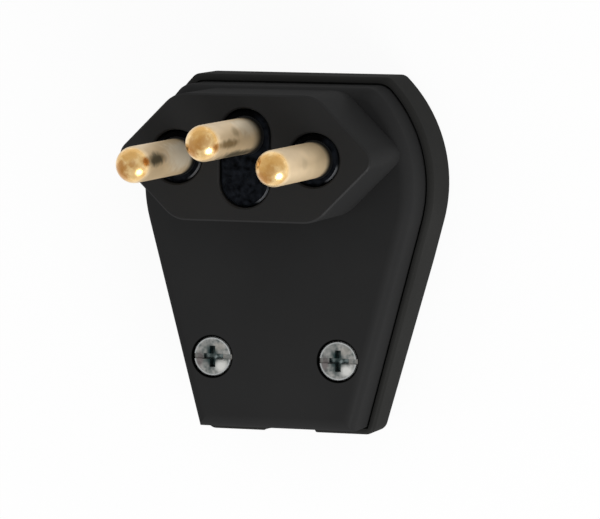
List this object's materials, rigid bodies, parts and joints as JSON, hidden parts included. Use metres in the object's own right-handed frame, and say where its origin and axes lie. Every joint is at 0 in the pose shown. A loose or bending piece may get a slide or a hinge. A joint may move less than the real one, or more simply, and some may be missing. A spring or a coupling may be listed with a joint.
{
  "type": "three-pin plug",
  "caption": "Black plug for wiring by the user, with round brass pins on a raised boss, a split cover held by front screws and a cord outlet at right angles to the pins.",
  "frame": {"origin": "on the level of the flat back face, under the middle of the body's box", "axes": "+Z along the pins to their tips, +Y to the flat top edge, -Y out of the cord outlet, +X to the right seen from the pins"},
  "size_m": [0.0402, 0.0488, 0.0485],
  "materials": {
    "front_cover": "moulded black, satin",
    "rear_cover": "moulded black, satin",
    "pin_carrier": "moulded blue-black, dull",
    "cord_clamp": "moulded black, dull",
    "pin_brass": "turned, bright",
    "terminal_steel": "plated",
    "cover_screw_zinc": "zinc plated",
    "inner_zinc": "zinc plated"
  },
  "bodies": {
    "root": {"cord_clamp": "cord_clamp", "cord_clamp_nut_left": "inner_zinc", "cord_clamp_nut_right": "inner_zinc", "cord_clamp_screw_left": "inner_zinc", "cord_clamp_screw_right": "inner_zinc", "cover_nut_left": "inner_zinc", "cover_nut_right": "inner_zinc", "cover_screw_left": "cover_screw_zinc", "cover_screw_right": "cover_screw_zinc", "earth_clamp_plate": "terminal_steel", "earth_pin": "pin_brass", "earth_terminal_screw": "terminal_steel", "front_cover": "front_cover", "line_clamp_plate": "terminal_steel", "line_pin": "pin_brass", "line_terminal_screw": "terminal_steel", "neutral_clamp_plate": "terminal_steel", "neutral_pin": "pin_brass", "neutral_terminal_screw": "terminal_steel", "pin_carrier": "pin_carrier", "rear_cover": "rear_cover"}
  },
  "joints": []
}
